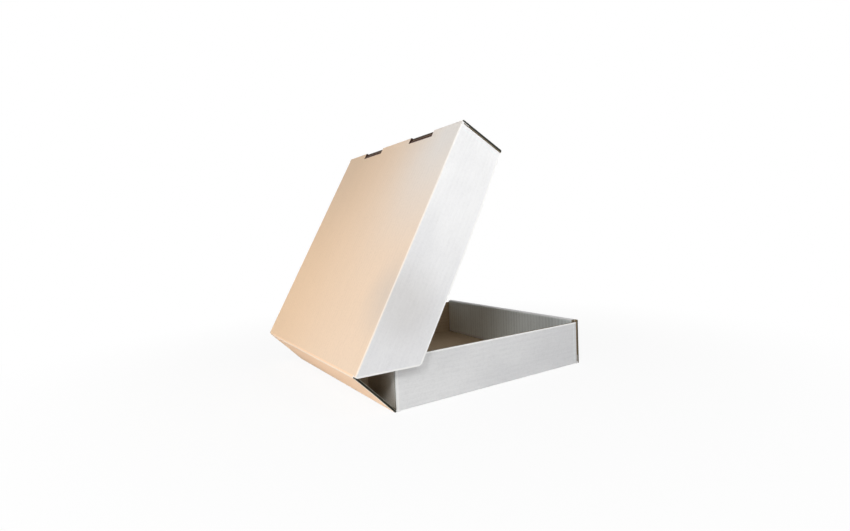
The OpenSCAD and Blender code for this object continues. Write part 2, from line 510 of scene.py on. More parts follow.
@dataclass(frozen=True)
class OuterLiner:
    """Smooth outer liner: faint flutes, fibre, soft mottle, scuffed folds, painted light and
    shade.

    Attributes:
        name: The material's name.
        half: The half whose folds it shows.
        tint: The panel's own tone, where it has one.
        shade_patch: A soft patch of painted shade, where there is one.
        slant: How far the rear edge of its walls is cut back at the free corner.
        open_sides: Whether it ends at its sides in cut edges, as the back panel does.
        rear_painted_shade: How much painted shade dulls it at the rear.
        front_painted_shade: How much painted shade dulls it at the front.
        white: Its colour at its brightest.
        dim: Its colour where it is dull: its clouds, and its painted shade.
        worn_and_highlight: Its colour along a fold: scuffed paper and painted highlight.
        fold_wear_and_highlight: How far a fold is scuffed and carries its painted highlight.
        edge_fray_and_highlight: How far the paper is frayed along a cut edge, with a painted
            highlight.
        edge_white_and_highlight: Its colour along a cut edge: frayed white fibres and painted
            highlight.
        flute_show: How strongly the flutes show.
        stripe_show: How much more they show on the inner ply of the rolled front.
        ply_painted_light: The colour of that ply: the same white liner, brighter and cooler as
            painted light.
        relief: Depth of its texture.
        weak_flutes, streaks, clouds, mottle, grain: Patches to the metre of each.
    """

    name: str
    half: Half
    tint: PanelTint | None = None
    shade_patch: ShadePatch | None = None
    slant: float = 0.0
    open_sides: bool = False
    rear_painted_shade: float = 0.0
    front_painted_shade: float = 0.0
    white: Colour = (0.795, 0.795, 0.795)
    dim: Colour = (0.735, 0.737, 0.745)
    worn_and_highlight: Colour = (0.93, 0.92, 0.90)
    fold_wear_and_highlight: float = 2.0 * MILLIMETRE
    edge_fray_and_highlight: float = 2.6 * MILLIMETRE
    edge_white_and_highlight: Colour = (0.98, 0.975, 0.96)
    flute_show: float = 0.09
    stripe_show: float = 0.28
    ply_painted_light: Colour = (0.90, 0.97, 0.98)
    relief: float = 0.028 * MILLIMETRE
    weak_flutes: Place = (70, 4, 1)
    streaks: Place = (850, 50, 1)
    clouds: Place = (14, 11, 14)
    mottle: Place = (330, 330, 330)
    grain: Place = (1500, 1500, 1500)

    def fold_gap(self, graph: Graph, board: Board) -> Num:
        """Distance from the nearest fold of the half.

        Args:
            graph: The material's graph.
            board: The board's sizes.

        Returns:
            The distance in metres.
        """
        x, y, z = graph.parts(graph.read(PLACE))
        from_side = self.half.width / 2 - abs(x)
        from_roll = self.half.front_h - z
        floor_fold = from_side.larger(z)
        front_fold = abs(y).larger(z)
        corner_fold = from_side.larger(abs(y - board.wall_start))
        roll_front = abs(y).larger(from_roll)
        roll_back = abs(y - board.rolled).larger(from_roll)
        from_rear = abs(y - self.half.reach)
        crease = from_rear.larger(z).smaller(from_side.larger(from_rear))
        folds = floor_fold.smaller(front_fold).smaller(corner_fold).smaller(crease)
        return folds.smaller(roll_front).smaller(roll_back)

    def edge_gap(self, graph: Graph, board: Board) -> Num:
        """Distance from the nearest cut edge of a side wall, or of a panel with open sides.

        Args:
            graph: The material's graph.
            board: The board's sizes.

        Returns:
            The distance in metres, large away from the side walls.
        """
        x, y, z = graph.parts(graph.read(PLACE))
        if self.open_sides:
            return (self.half.width / 2 - abs(x)) * 1.5
        off_wall = abs(abs(x) - self.half.width / 2) * 8
        gap = abs(self.half.wall_h - z)
        if self.slant:
            rise = self.half.wall_h - board.thickness
            length = math.hypot(rise, self.slant)
            behind = (self.half.reach - y) * (rise / length)
            gap = gap.smaller(abs(behind - (z - board.thickness) * (self.slant / length)))
        return gap.larger(off_wall)

    def inner_ply(self, graph: Graph, board: Board) -> Num:
        """Finds the inner face of the rolled front.

        Args:
            graph: The material's graph.
            board: The board's sizes.

        Returns:
            A mask that is 1 on that face.
        """
        _, y, z = graph.parts(graph.read(PLACE))
        on_face = abs(y - board.rolled).ramp(0.4 * MILLIMETRE, 0.1 * MILLIMETRE)
        return on_face * z.ramp(board.thickness, 2 * board.thickness)

    def make(self, board: Board) -> bpy.types.Material:
        """Builds the material.

        Args:
            board: The board's sizes.

        Returns:
            The finished material.
        """
        graph = Graph(bpy.data.materials.new(self.name))
        place = graph.read(PLACE)
        sheet = graph.read(SHEET)
        lines = flute_lines(graph, board, self.weak_flutes, 0.35, 0.65)
        streaks = graph.noise(sheet, self.streaks, 3.0)
        cloud = graph.noise(place, self.clouds, 3.0)
        mottle = graph.noise(place, self.mottle, 4.0)
        grain = graph.noise(place, self.grain)
        _, back, _ = graph.parts(place)
        on_ply = self.inner_ply(graph, board)
        # painted shade: duller towards the rear or the front; the clouds are the paper's own
        # unevenness
        rearward = back.ramp(0.0, self.half.reach)
        painted_shade_and_clouds = rearward * self.rear_painted_shade + (1 - rearward) * self.front_painted_shade
        painted_shade_and_clouds = painted_shade_and_clouds + cloud.ramp(0.35, 0.7) * 0.4
        colour = graph.mix(painted_shade_and_clouds.smaller(1.0), self.white, self.dim)
        # painted light: the inner ply is the same white liner, given a brighter, cooler colour
        colour = graph.mix(on_ply, colour, self.ply_painted_light)
        if self.tint:
            panel, beyond = self.tint.tone(graph, self.half)
            colour = graph.mix(beyond, panel, colour)
        show = on_ply * self.stripe_show + self.flute_show
        tone = lines * show + streaks.ramp(0.42, 0.72) * 0.11
        tone = tone + mottle.ramp(0.42, 0.70) * 0.11 + grain.ramp(0.5, 0.8) * 0.05
        colour = graph.mix(tone, colour, toned(self.dim, 0.9), "MULTIPLY")
        # painted shade: a soft grey patch over the lid's left fold
        if self.shade_patch:
            colour = graph.mix(self.shade_patch.mask(graph), colour, self.shade_patch.grey)
        # partly scuffed paper, partly painted highlight: lighter along the folds and the cut edges
        blotchy_share = cloud * 0.5 + 0.4
        wear_and_highlight = self.fold_gap(graph, board).ramp(self.fold_wear_and_highlight, 0.0) * blotchy_share
        frayed = self.edge_gap(graph, board).ramp(self.edge_fray_and_highlight, 0.4 * self.edge_fray_and_highlight)
        frayed = frayed * (mottle * 0.6 + 0.65)
        colour = graph.mix(wear_and_highlight, colour, self.worn_and_highlight)
        colour = graph.mix(frayed.smaller(1.0), colour, self.edge_white_and_highlight)
        height = lines * 0.5 + streaks * 0.35 + mottle * 0.3 + grain * 0.15
        roughness = 0.52 + mottle * 0.12 + cloud * 0.08
        return graph.surface(colour, roughness, height, self.relief)


@dataclass(frozen=True)
class BareInside:
    """Unbleached kraft of the inside: flute lines, fibres, specks and scuffs.

    Attributes:
        name: The material's name.
        kraft: The paper's colour.
        dark: Its darker clouds and fibres.
        speck: Its specks.
        pale: Its scuffs, and the crests of the flutes.
        relief: Depth of its texture.
        weak_flutes, clouds, fibres, specks, scuffs: Patches to the metre of each.
    """

    name: str = "bare_kraft_inside"
    kraft: Colour = (0.300, 0.212, 0.125)
    dark: Colour = (0.240, 0.168, 0.098)
    speck: Colour = (0.13, 0.088, 0.05)
    pale: Colour = (0.38, 0.285, 0.180)
    relief: float = 0.07 * MILLIMETRE
    weak_flutes: Place = (60, 3, 1)
    clouds: Place = (20, 14, 20)
    fibres: Place = (900, 170, 1)
    specks: Place = (900, 900, 900)
    scuffs: Place = (45, 60, 45)

    def make(self, board: Board) -> bpy.types.Material:
        """Builds the material.

        Args:
            board: The board's sizes.

        Returns:
            The finished material.
        """
        graph = Graph(bpy.data.materials.new(self.name))
        place = graph.read(PLACE)
        sheet = graph.read(SHEET)
        lines = flute_lines(graph, board, self.weak_flutes, 0.3, 0.7)
        cloud = graph.noise(place, self.clouds, 4.0)
        fibre = graph.noise(sheet, self.fibres, 4.0)
        specks = graph.noise(place, self.specks, 1.0)
        scuffs = graph.noise(place, self.scuffs, 5.0)
        colour = graph.mix(cloud.ramp(0.3, 0.75) * 0.55, self.kraft, self.dark)
        colour = graph.mix(lines * 0.36, colour, self.pale)
        colour = graph.mix(fibre.ramp(0.5, 0.72) * 0.4, colour, self.dark)
        colour = graph.mix(scuffs.ramp(0.6, 0.75) * 0.3, colour, self.pale)
        colour = graph.mix(specks.ramp(0.66, 0.73) * 0.6, colour, self.speck)
        height = lines * 0.7 + fibre * 0.3
        return graph.surface(colour, 0.72 + fibre * 0.12, height, self.relief)


@dataclass(frozen=True)
class CutEdge:
    """Raw edge of the board: white outer liner, brown fluting with painted shade, brown inner
    liner.

    Attributes:
        name: The material's name.
        outer: The outer liner's edge.
        fluting: The fluted paper, darkened with painted shade of its hollows.
        inner: The inner liner's edge.
        slot: The painted shade inside the lock slots.
        slot_reach: How far behind the front the slots end.
        slot_out: How far from the middle the slots end.
        relief: Depth of the frayed paper.
        fraying: Patches to the metre of the fraying.
    """

    name: str = "cut_edge_of_board"
    outer: Colour = (0.76, 0.745, 0.70)
    fluting: Colour = (0.115, 0.095, 0.062)
    inner: Colour = (0.25, 0.205, 0.14)
    slot: Colour = (0.040, 0.014, 0.007)
    slot_reach: float = 15 * MILLIMETRE
    slot_out: float = 105 * MILLIMETRE
    relief: float = 0.12 * MILLIMETRE
    fraying: Place = (900, 900, 900)

    def make(self, board: Board) -> bpy.types.Material:
        """Builds the material.

        Args:
            board: The board's sizes.

        Returns:
            The finished material.
        """
        graph = Graph(bpy.data.materials.new(self.name))
        place = graph.read(PLACE)
        _, skin, _ = graph.parts(graph.read(SHEET))
        across, back, depth = graph.parts(place)
        frayed = graph.noise(place, self.fraying, 3.0)
        ragged = skin + (frayed - 0.5) * (0.4 * board.liner)
        rim = board.liner
        in_fluting = ragged.ramp(0.5 * rim, 1.1 * rim)
        in_inner = ragged.ramp(board.thickness - 1.3 * rim, board.thickness - 0.7 * rim)
        colour = graph.mix(in_fluting, self.outer, self.fluting)
        colour = graph.mix(in_inner, colour, self.inner)
        colour = graph.mix(frayed.ramp(0.5, 0.8) * 0.5, colour, toned(self.fluting, 0.55))
        # painted shade: dark red-brown inside the lock slots of the lid's front
        slot_painted_shade = depth.ramp(1.2 * board.thickness, board.thickness)
        slot_painted_shade = slot_painted_shade * back.ramp(self.slot_reach, 0.9 * self.slot_reach)
        slot_painted_shade = slot_painted_shade * abs(across).ramp(self.slot_out, 0.95 * self.slot_out)
        colour = graph.mix(slot_painted_shade, colour, self.slot)
        return graph.surface(colour, 0.85, frayed, self.relief)


# Mesh work


def bare_selection() -> None:
    """Deselects everything and leaves edit mode."""
    if bpy.context.mode != "OBJECT":
        bpy.ops.object.mode_set(mode="OBJECT")
    bpy.ops.object.select_all(action="DESELECT")


def pick(piece: bpy.types.Object) -> None:
    """Makes a piece the only selected and active object."""
    bare_selection()
    piece.select_set(True)
    bpy.context.view_layer.objects.active = piece


def spread_lines(low: float, high: float, step: float, keep: Iterable[float] = ()) -> list[float]:
    """Even positions between two ends, with some kept besides.

    Args:
        low: One end, left out itself.
        high: The other end, left out itself.
        step: The largest distance between neighbours.
        keep: Further positions.

    Returns:
        The positions.
    """
    count = max(1, math.ceil((high - low) / step))
    even = [low + (high - low) * i / count for i in range(1, count)]
    return sorted([*even, *keep])


@dataclass
class BoardPiece:
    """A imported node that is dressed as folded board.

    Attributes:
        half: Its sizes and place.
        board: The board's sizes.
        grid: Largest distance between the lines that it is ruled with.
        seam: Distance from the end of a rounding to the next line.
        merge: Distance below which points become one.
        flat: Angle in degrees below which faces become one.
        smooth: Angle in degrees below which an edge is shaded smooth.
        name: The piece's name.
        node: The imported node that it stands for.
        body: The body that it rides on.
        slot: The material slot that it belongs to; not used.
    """

    half: Half
    board: Board
    grid: float = 14 * MILLIMETRE
    seam: float = 0.4 * MILLIMETRE
    merge: float = 0.004 * MILLIMETRE
    flat: float = 0.4
    smooth: float = 22
    name: str = ""
    node: str = ""
    body: Body = Body.TRAY
    slot: Slot = Slot.WHITE

    def patch(self, place: Vector, normal: Vector) -> Patch:
        """Says how a face lies on the sheet; each piece has its own reading."""
        raise NotImplementedError

    def rulings(self) -> dict[Axis, list[float]]:
        """Positions along each axis where the mesh is ruled."""
        raise NotImplementedError

    def bow(self, place: Vector) -> Vector:
        """How far the board has moved at a place."""
        raise NotImplementedError

    def copy_node(self) -> bpy.types.Object:
        """Copies the node's mesh and merges it into plain faces.

        Returns:
            The copy.
        """
        mesh = frame["nodes"][self.node].data.copy()
        piece = bpy.data.objects.new(self.name, mesh)
        mesh.name = self.name
        bpy.context.scene.collection.objects.link(piece)
        pick(piece)
        if mesh.has_custom_normals:
            bpy.ops.mesh.customdata_custom_splitnormals_clear()
        bpy.ops.object.mode_set(mode="EDIT")
        bpy.ops.mesh.select_all(action="SELECT")
        bpy.ops.mesh.remove_doubles(threshold=self.merge)
        bpy.ops.mesh.dissolve_limited(angle_limit=math.radians(self.flat))
        bpy.ops.object.mode_set(mode="OBJECT")
        return piece

    def rule(self, piece: bpy.types.Object) -> None:
        """Rules the mesh into a grid, so that it can bow.

        Args:
            piece: The mesh.
        """
        pick(piece)
        bpy.ops.object.mode_set(mode="EDIT")
        for axis, places in self.rulings().items():
            normal = self.half.direction(axis)
            for place in places:
                bpy.ops.mesh.select_all(action="SELECT")
                bpy.ops.mesh.bisect(plane_co=self.half.origin + normal * place, plane_no=normal)
        bpy.ops.object.mode_set(mode="OBJECT")

    def mark(self, piece: bpy.types.Object, outer_only: bool = False) -> None:
        """Writes each point's place and each face's lie on the sheet.

        Args:
            piece: The mesh.
            outer_only: Whether every face is outer liner.
        """
        mesh = piece.data
        places = [self.half.local(vertex.co) for vertex in mesh.vertices]
        attribute = mesh.attributes.new(PLACE, "FLOAT_VECTOR", "POINT")
        for item, place in zip(attribute.data, places):
            item.vector = place
        for layer in list(mesh.uv_layers):
            mesh.uv_layers.remove(layer)
        lie = mesh.attributes.new(SHEET, "FLOAT_VECTOR", "CORNER")
        axes = [self.half.direction(axis) for axis in Axis]
        for face in mesh.polygons:
            centre = self.half.local(face.center)
            facing = Vector([face.normal.dot(axis) for axis in axes])
            patch = Patch(Side.OUTER) if outer_only else self.patch(centre, facing)
            face.material_index = patch.side.value
            across, along = patch.across.value, patch.along.value
            for corner in face.loop_indices:
                place = places[mesh.loops[corner].vertex_index]
                if patch.skin:
                    lie.data[corner].vector = (place.x + place.y + place.z, patch.skin(place), 0)
                else:
                    lie.data[corner].vector = (place[across], place[along], 0)

    def bend(self, piece: bpy.types.Object) -> None:
        """Moves every point by the board's bow.

        Args:
            piece: The mesh.
        """
        for vertex in piece.data.vertices:
            place = self.half.local(vertex.co)
            vertex.co = self.half.world(place + self.bow(place))

    def build(self, materials: dict[Side, bpy.types.Material]) -> bpy.types.Object:
        """Makes the piece from its node.

        Args:
            materials: The material of each side of the sheet.

        Returns:
            The finished piece.
        """
        piece = self.copy_node()
        self.rule(piece)
        piece.data.materials.clear()
        for side in Side:
            piece.data.materials.append(materials[side])
        self.mark(piece)
        self.bend(piece)
        pick(piece)
        bpy.ops.object.shade_smooth_by_angle(angle=math.radians(self.smooth))
        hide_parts(self.node)
        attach(piece, self.body.value)
        log.info("%s: %d faces for %s", piece.name, len(piece.data.polygons), self.node)
        return piece


@dataclass
class FoldedHalf(BoardPiece):
    """A panel with its side walls and its rolled front, as the tray and the lid have.

    Attributes:
        rear_flaps: Whether dust flaps close its rear.
        wall_bow: How far its walls swell out in their middle.
        wall_lean: How far the free edges of its walls lean out.
        lean_start: Share of the depth in which that lean comes on.
        panel_bow: How far its panel swells towards the inside.
        ripple: Height of a slow wave in all of it.
        waves: How fast that wave runs across, back and in, in radians to the metre.
        wave_shift: Where that wave starts across, in radians.
    """

    rear_flaps: bool = False
    wall_bow: float = 0.4 * MILLIMETRE
    wall_lean: float = 0.0
    lean_start: float = 0.2
    panel_bow: float = 0.5 * MILLIMETRE
    ripple: float = 0.12 * MILLIMETRE
    waves: tuple[int, int, int] = (17, 21, 9)
    wave_shift: float = 0.6

    def rulings(self) -> dict[Axis, list[float]]:
        """Positions along each axis where the mesh is ruled.

        Returns:
            The positions, closer at the roundings.
        """
        half, board = self.half, self.board
        hold = board.fold_r + self.seam
        side = half.width / 2
        return {
            Axis.ACROSS: spread_lines(-side, side, self.grid, (hold - side, side - hold)),
            Axis.BACK: spread_lines(0.0, half.reach, self.grid, (hold, board.wall_start + hold)),
            Axis.IN: spread_lines(0.0, half.wall_h, self.grid, (hold, half.front_h - hold)),
        }

    def in_fold(self, place: Vector) -> bool:
        """Tells whether a place lies in one of the outward roundings.

        Args:
            place: Across, back and in.

        Returns:
            Whether it does.
        """
        half, board = self.half, self.board
        r = board.fold_r + SLACK
        at_side = abs(place.x) > half.width / 2 - r
        at_floor = place.z < r
        at_top = place.z > half.front_h - r
        at_front = place.y < r
        at_corner = board.wall_start - SLACK < place.y < board.wall_start + r
        at_roll = board.rolled - r < place.y < board.rolled + SLACK
        at_rear = self.rear_flaps and place.y > half.reach - r
        beside = at_side and (at_floor or at_corner or at_rear)
        return beside or (at_front and (at_floor or at_top)) or (at_roll and at_top)

    def edge_skin(self, place: Vector) -> Callable[[Vector], float]:
        """Finds how a cut edge near a place counts its depth below the outer liner.

        Args:
            place: Across, back and in.

        Returns:
            A function that gives the depth at a place.
        """
        half, board = self.half, self.board
        t = board.thickness
        if place.y < board.wall_start - SLACK:
            return lambda p: p.y
        from_side = half.width / 2 - abs(place.x)
        between_walls = from_side > t + SLACK
        if place.z > t and place.y < board.wall_start + t + SLACK and between_walls:
            return lambda p: p.y - board.wall_start
        if board.rolled - t - SLACK < place.y < board.rolled + SLACK and between_walls:
            return lambda p: board.rolled - p.y
        if from_side < t + SLACK:
            return lambda p: half.width / 2 - abs(p.x)
        if place.z > t + SLACK:
            return lambda p: half.reach - p.y
        return lambda p: p.z

    def patch(self, place: Vector, normal: Vector) -> Patch:
        """Says how a face lies on the sheet.

        Args:
            place: The face's centre.
            normal: Where it faces, in the half's own directions.

        Returns:
            Its lie on the sheet.
        """
        half, board = self.half, self.board
        x, y, z = abs(place.x), place.y, place.z
        t = board.thickness
        behind_front = y > board.wall_start - SLACK
        sideways, upright, level = (abs(part) > SQUARE_ON for part in normal)
        if level:
            on_panel = same(z, t) and x < half.width / 2 - t + SLACK and normal.z > 0
            in_roll = same(z, half.front_h - t) and y < board.rolled
            if same(z, 0) or (same(z, half.front_h) and y < board.rolled + SLACK):
                return Patch(Side.OUTER)
            if on_panel or in_roll:
                return Patch(Side.INSIDE)
        if sideways and behind_front:
            if same(x, half.width / 2):
                return Patch(Side.OUTER, Axis.IN, Axis.BACK)
            if same(x, half.width / 2 - t) and y > board.wall_start + t - SLACK:
                return Patch(Side.INSIDE, Axis.IN, Axis.BACK)
        if upright:
            if same(y, 0) or same(y, board.rolled):
                return Patch(Side.OUTER, Axis.ACROSS, Axis.IN)
            if same(y, t) or same(y, board.rolled - t):
                return Patch(Side.INSIDE, Axis.ACROSS, Axis.IN)
            if same(y, board.wall_start) or (self.rear_flaps and same(y, half.reach)):
                return Patch(Side.OUTER, Axis.IN, Axis.ACROSS)
            if same(y, board.wall_start + t) or (self.rear_flaps and same(y, half.reach - t)):
                return Patch(Side.INSIDE, Axis.IN, Axis.ACROSS)
        slanting = max(abs(part) for part in normal) < SQUARE_ON
        if slanting and self.in_fold(place):
            at_side = x > half.width / 2 - board.fold_r - SLACK and behind_front
            return Patch(Side.OUTER, Axis.IN if at_side else Axis.ACROSS, Axis.BACK)
        at_crease = not self.rear_flaps and z < t and abs(y - half.reach) < t
        if slanting and at_crease:
            return Patch(Side.OUTER if z < t / 2 else Side.INSIDE)
        return Patch(Side.EDGE, skin=self.edge_skin(place))

    def bow(self, place: Vector) -> Vector:
        """How far the board has moved at a place: walls out, panel up, and a slow ripple.

        The walls also lean out from their folds, behind where the rolled front holds them.

        Args:
            place: Across, back and in.

        Returns:
            The move, in the same directions.
        """
        half, rolled = self.half, self.board.rolled
        run = clamp((place.y - rolled) / (half.reach - 2 * rolled), 0.0, 1.0)
        swell = math.sin(math.pi * run) ** 2
        share = clamp(2 * place.x / half.width, -1.0, 1.0)
        height = max(0.0, place.z) / half.wall_h
        across, back, inward = self.waves
        wave = math.sin(back * place.y + inward * place.z)
        wave *= math.cos(across * place.x + self.wave_shift)
        out = self.wall_bow * swell * height**1.5 * share**3
        above = max(0.0, place.z - self.board.thickness) / half.wall_h
        up = self.panel_bow * swell * (1 - share**2) ** 1.5 * max(0.0, 1 - above * 3)
        drift = self.ripple * wave * swell
        spread = 1 - math.exp(-((run / self.lean_start) ** 1.5))
        if abs(place.x) > half.width / 2 - self.board.thickness - SLACK:
            out += math.copysign(self.wall_lean * spread * height, place.x)
        return Vector((out + drift * height, 0.0, up + drift * (1 - share**2) * (1 - height)))


@dataclass
class BaseTray(FoldedHalf):
    """The tray that stands on the table."""

    rear_flaps: bool = True
    name: str = "tray_board"
    node: str = "base_tray"


@dataclass
class LidShell(FoldedHalf):
    """The lid, whose panel crowns outwards a little and whose skirts spread."""

    panel_bow: float = -0.9 * MILLIMETRE
    wall_bow: float = 0.3 * MILLIMETRE
    wall_lean: float = 6.2 * MILLIMETRE
    name: str = "lid_board"
    node: str = "lid"
    body: Body = Body.LID
    slot: Slot = Slot.BUFF


@dataclass
class BackPanel(BoardPiece):
    """The flat panel between the two creases that move."""

    ripple: float = 0.25 * MILLIMETRE
    name: str = "back_board"
    node: str = "back_panel"
    body: Body = Body.BACK
    slot: Slot = Slot.BUFF

    def rulings(self) -> dict[Axis, list[float]]:
        """Positions along each axis where the mesh is ruled.

        Returns:
            The positions, evenly spread.
        """
        side = self.half.width / 2
        return {
            Axis.ACROSS: spread_lines(-side, side, self.grid),
            Axis.BACK: spread_lines(0.0, self.half.reach, self.grid),
        }

    def patch(self, place: Vector, normal: Vector) -> Patch:
        """Says how a face lies on the sheet.

        Args:
            place: The face's centre.
            normal: Where it faces, in the panel's own directions.

        Returns:
            Its lie on the sheet.
        """
        if abs(normal.x) > 0.9:
            return Patch(Side.EDGE, skin=lambda p: p.z)
        if same(place.z, 0) or (place.y < 0 and place.z < self.board.thickness / 2):
            return Patch(Side.OUTER)
        if same(place.z, self.board.thickness) or place.y < 0:
            return Patch(Side.INSIDE)
        return Patch(Side.EDGE, skin=lambda p: p.z)

    def bow(self, place: Vector) -> Vector:
        """How far the panel has moved at a place: a slow swell between its creases.

        Args:
            place: Across, back and in.

        Returns:
            The move, in the same directions.
        """
        run = clamp(place.y / self.half.reach, 0.0, 1.0)
        swell = math.sin(math.pi * run) ** 2 * (1 + 0.5 * math.sin(19 * place.x))
        return Vector((0.0, 0.0, self.ripple * swell))


@dataclass
class CreaseSkin:
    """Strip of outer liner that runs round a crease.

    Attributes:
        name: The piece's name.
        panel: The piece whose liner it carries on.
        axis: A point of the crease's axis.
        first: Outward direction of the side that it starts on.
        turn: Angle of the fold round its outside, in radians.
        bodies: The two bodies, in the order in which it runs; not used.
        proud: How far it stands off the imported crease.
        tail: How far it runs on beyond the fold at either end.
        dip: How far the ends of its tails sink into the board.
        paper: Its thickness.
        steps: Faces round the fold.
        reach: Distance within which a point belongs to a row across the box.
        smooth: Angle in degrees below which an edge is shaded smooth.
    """

    name: str
    panel: BoardPiece
    axis: Vector
    first: Vector
    turn: float
    bodies: tuple[Body, Body]
    proud: float = 0.06 * MILLIMETRE
    tail: float = 3.5 * MILLIMETRE
    dip: float = 0.12 * MILLIMETRE
    paper: float = 0.3 * MILLIMETRE
    steps: int = 14
    reach: float = 0.02 * MILLIMETRE
    smooth: float = 30

    def directions(self) -> tuple[Vector, Matrix]:
        """Finds which way the strip runs and how the fold turns it.

        Returns:
            The direction in which it starts, and the turn round the fold.
        """
        run = self.first.cross(ACROSS_BOX)
        if run.y < 0 and self.first.z < 0:
            run = -run
        spin = Matrix.Rotation(-self.turn, 3, ACROSS_BOX)
        if (spin @ self.first - self.first).dot(run) < 0:
            spin = Matrix.Rotation(self.turn, 3, ACROSS_BOX)
        return run, spin

    def lay_tail(self, start: Vector, run: Vector) -> bpy.types.Object:
        """Lays the first tail, from its sunk end up to the fold.

        Args:
            start: Where the fold begins.
            run: The direction in which the strip runs there.

        Returns:
            The tail, as a single face.
        """
        width = self.panel.half.width - 2 * self.panel.board.liner
        sunk = start - run * self.tail - self.first * self.dip
        bare_selection()
        bpy.ops.mesh.primitive_plane_add(size=1.0)
        piece = bpy.context.active_object
        piece.name = piece.data.name = self.name
        for vertex in piece.data.vertices:
            row = sunk if vertex.co.y < 0 else start
            vertex.co = Vector((math.copysign(width / 2, vertex.co.x), row.y, row.z))
        return piece

    def thicken(self, piece: bpy.types.Object, start: Vector) -> None:
        """Turns the strip's faces outwards and gives it the paper's thickness.

        Args:
            piece: The strip.
            start: Where the fold begins.
        """
        nearest = min(piece.data.polygons, key=lambda face: (face.center - start).length)
        if nearest.normal.dot(self.first) < 0:
            piece.data.flip_normals()
        solid = piece.modifiers.new("paper", "SOLIDIFY")
        solid.thickness = self.paper
        solid.offset = -1.0
        bpy.ops.object.modifier_apply(modifier=solid.name)

    def build(self, material: bpy.types.Material) -> bpy.types.Object:
        """Spins the strip round the crease.

        Args:
            material: The outer liner.

        Returns:
            The finished piece.
        """
        run, spin = self.directions()
        last = spin @ self.first
        radius = self.panel.board.thickness / 2 + self.proud
        start, end = self.axis + self.first * radius, self.axis + last * radius
        piece = self.lay_tail(start, run)
        self.select_row(piece, start)
        onward = self.first.cross(ACROSS_BOX).dot(run) < 0
        angle = -self.turn if onward else self.turn
        bpy.ops.mesh.spin(
            steps=self.steps, angle=angle, center=self.axis, axis=ACROSS_BOX, dupli=False
        )
        self.select_row(piece, end)
        step = spin @ run * self.tail - last * self.dip
        bpy.ops.mesh.extrude_edges_move(TRANSFORM_OT_translate={"value": tuple(step)})
        bpy.ops.mesh.select_all(action="SELECT")
        bpy.ops.mesh.remove_doubles(threshold=SLACK)
        bpy.ops.mesh.normals_make_consistent(inside=False)
        bpy.ops.object.mode_set(mode="OBJECT")
        self.thicken(piece, start)
        self.panel.mark(piece, outer_only=True)
        piece.data.materials.append(material)
        for face in piece.data.polygons:
            face.material_index = 0
        bpy.ops.object.shade_smooth_by_angle(angle=math.radians(self.smooth))
        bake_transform(piece)
        count, fold = len(piece.data.polygons), math.degrees(self.turn)
        log.info("%s: %d faces round a fold of %.0f degrees", self.name, count, fold)
        return piece

    def select_row(self, piece: bpy.types.Object, row: Vector) -> None:
        """Selects the points of a row across the box and stays in edit mode.

        Args:
            piece: The strip.
            row: A place that the row passes.
        """
        pick(piece)
        bpy.ops.object.mode_set(mode="EDIT")
        bpy.ops.mesh.select_mode(type="VERT")
        bpy.ops.mesh.select_all(action="DESELECT")
        bpy.ops.object.mode_set(mode="OBJECT")
        for vertex in piece.data.vertices:
            gap = Vector((0, vertex.co.y - row.y, vertex.co.z - row.z)).length
            vertex.select = gap < self.reach
        bpy.ops.object.mode_set(mode="EDIT")


